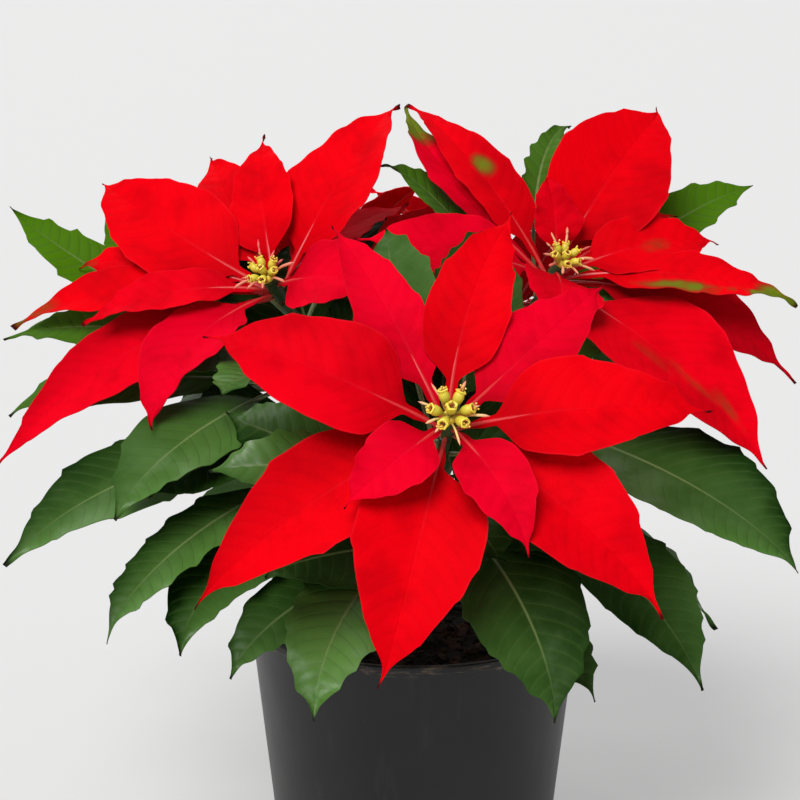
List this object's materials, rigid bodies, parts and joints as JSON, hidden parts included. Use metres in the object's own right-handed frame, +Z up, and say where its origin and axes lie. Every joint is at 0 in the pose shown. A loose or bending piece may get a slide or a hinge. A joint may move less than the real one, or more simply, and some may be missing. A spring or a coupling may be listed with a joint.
{
  "type": "potted poinsettia",
  "caption": "Potted poinsettia: spreading crown of red star-shaped blooms with yellow-green flower cups over dark green pointed leaves, on leafy stems in a round tapered dark pot.",
  "frame": {"origin": "centre of the flat base of the pot, at the surface it stands on", "axes": "+Z up, -Y is the front of the plant as it was pictured, +X is the right of that view"},
  "size_m": [0.3995, 0.3766, 0.3662],
  "materials": {
    "pot_plastic": "satin dark grey moulded plastic",
    "potting_mix": "moist dark potting mix with bark bits",
    "bark": "grey-brown young bark",
    "leaf_green": "soft satin dark green leaf",
    "bract_red": "soft velvety saturated red bract",
    "flower_yellow": "waxy yellow-green flower cup"
  },
  "bodies": {
    "root": {"pot": "pot_plastic", "soil": "potting_mix", "main_stem": "bark", "leafy_stem_front": "leaf_green", "leafy_stem_left": "leaf_green", "leafy_stem_right": "leaf_green", "leafy_stem_back_left": "leaf_green", "leafy_stem_back_right": "leaf_green", "bracts_front": "bract_red", "bracts_left": "bract_red", "bracts_right": "bract_red", "bracts_back_left": "bract_red", "bracts_back_right": "bract_red", "flowers_front": "flower_yellow", "flowers_left": "flower_yellow", "flowers_right": "flower_yellow", "flowers_back_left": "flower_yellow", "flowers_back_right": "flower_yellow"}
  },
  "joints": []
}
